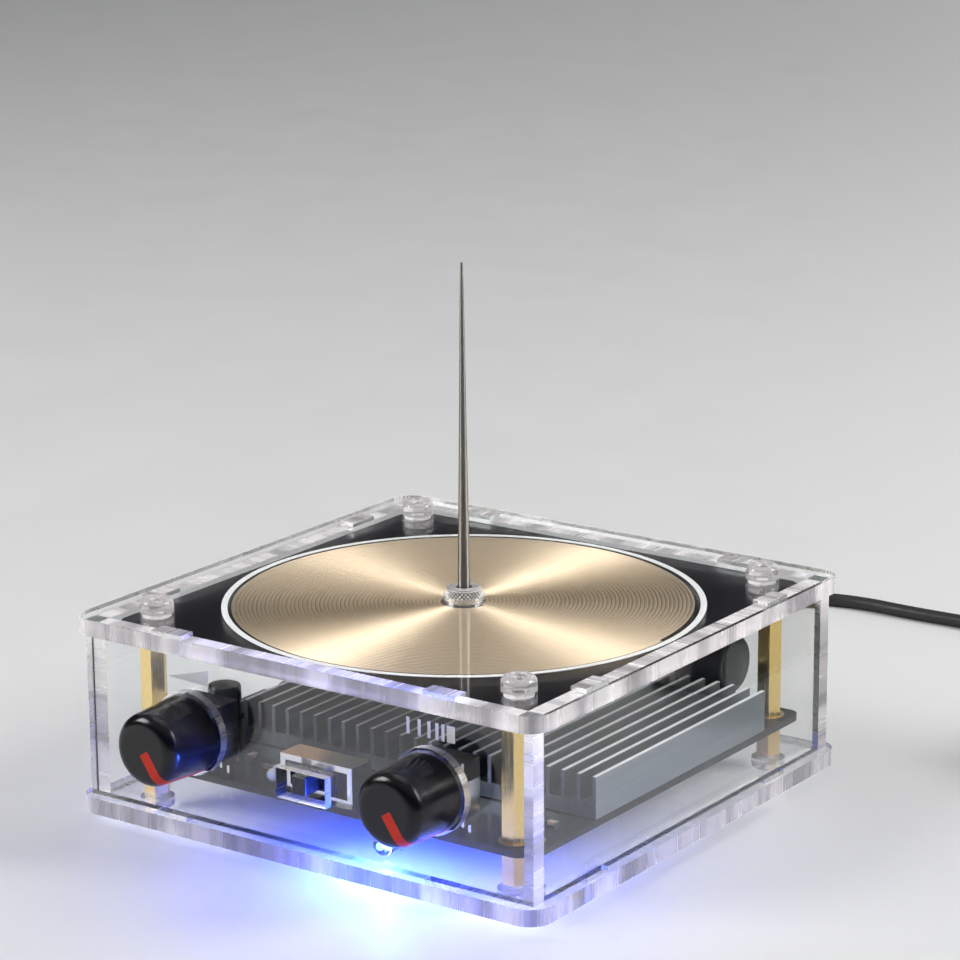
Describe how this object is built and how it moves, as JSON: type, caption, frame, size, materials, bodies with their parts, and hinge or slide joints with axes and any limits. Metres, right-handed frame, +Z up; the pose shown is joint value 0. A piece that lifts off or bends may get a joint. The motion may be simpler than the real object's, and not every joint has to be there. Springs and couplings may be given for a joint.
{
  "type": "desktop resonant transformer",
  "caption": "Desktop resonant transformer: flat spiral winding and upright discharge needle on a clear laser-cut case with two knobs and a slide switch.",
  "frame": {"origin": "bottom centre of the object's box, on the surface it stands on, without its lead", "axes": "+Z up along the discharge needle, -Y towards the front with the knobs, +X to the right seen from the front"},
  "size_m": [0.1997, 0.2663, 0.129],
  "materials": {
    "clear_sheet": "clear polished acrylic",
    "clear_screw": "clear moulded plastic",
    "brass_bright": "turned, bright",
    "brass_dull": "turned, dull",
    "board_black": "black solder mask",
    "winding_gold": "fine concentric tracks, satin",
    "winding_copper": "bare copper",
    "print_white": "printed",
    "nickel": "bright plated",
    "needle_steel": "polished",
    "knob_black": "glossy",
    "pointer_orange": "painted",
    "shaft_metal": "turned",
    "pot_black": "moulded",
    "plated_steel": "plated sheet",
    "lever_black": "moulded",
    "sink_aluminium": "extruded, bare",
    "pad_grey": "soft pad",
    "sleeve_dark": "shrink sleeve",
    "resistor_tan": "lacquered",
    "ferrite": "coated ferrite",
    "blue_light": "lit clear lamp",
    "lamp_white": "diffuse lens",
    "lead_black": "matt jacket"
  },
  "bodies": {
    "case": {"adapter_pins": "nickel", "audio_jack": "pot_black", "audio_module": "board_black", "blue_lamp": "blue_light", "board_pins": "nickel", "bottom_plate": "clear_sheet", "bottom_screws": "clear_screw", "capacitor_can": "sleeve_dark", "capacitor_sleeve": "sleeve_dark", "coil_board": "board_black", "coil_link_posts": "winding_copper", "driver_chips": "pot_black", "film_capacitor": "pot_black", "filter_capacitors": "sleeve_dark", "front_panel": "clear_sheet", "heat_sink": "sink_aluminium", "heat_sink_screws": "plated_steel", "lead_coil": "lead_black", "left_panel": "clear_sheet", "left_pot_bracket": "plated_steel", "left_potentiometer": "pot_black", "lower_standoffs": "brass_dull", "main_board": "board_black", "marking_ring": "print_white", "module_shield": "plated_steel", "needle_socket": "nickel", "power_jack": "pot_black", "power_lead": "lead_black", "power_plug": "lead_black", "power_transistors": "pot_black", "primary_winding": "winding_copper", "rear_panel": "clear_sheet", "resistors": "resistor_tan", "right_panel": "clear_sheet", "right_pot_bracket": "plated_steel", "right_potentiometer": "pot_black", "secondary_spiral": "winding_gold", "socket_nut": "nickel", "spacer_washers": "clear_screw", "status_lamp": "lamp_white", "switch_base": "pot_black", "switch_shell": "plated_steel", "thermal_pad": "pad_grey", "top_plate": "clear_sheet", "top_screws": "clear_screw", "transformer_core": "ferrite", "transformer_winding": "winding_copper", "upper_standoffs": "brass_bright", "wall_adapter": "lead_black"},
    "left_control": {"left_knob": "knob_black", "left_pointer": "pointer_orange", "left_shaft": "shaft_metal"},
    "right_control": {"right_knob": "knob_black", "right_pointer": "pointer_orange", "right_shaft": "shaft_metal"},
    "switch_lever": {"switch_slider": "lever_black"},
    "collar": {"knurled_collar": "nickel"},
    "needle": {"discharge_needle": "needle_steel"}
  },
  "joints": [
    {"name": "left_knob_turn", "type": "hinge", "parent": "case", "child": "left_control", "pos_m": [-0.0328, -0.0556, 0.0267], "axis": [0, -1, 0], "range_deg": [0, 300]},
    {"name": "right_knob_turn", "type": "hinge", "parent": "case", "child": "right_control", "pos_m": [0.0347, -0.0556, 0.0267], "axis": [0, -1, 0], "range_deg": [0, 300]},
    {"name": "switch_slide", "type": "slide", "parent": "case", "child": "switch_lever", "axis": [1, 0, 0], "range_m": [0, 0.003]},
    {"name": "collar_turn", "type": "hinge", "parent": "case", "child": "collar", "pos_m": [0, 0.0064, 0.0488], "axis": [0, 0, 1], "range_deg": [0, 360]},
    {"name": "needle_lift", "type": "slide", "parent": "case", "child": "needle", "axis": [0, 0, 1], "range_m": [0, 0.005]}
  ]
}
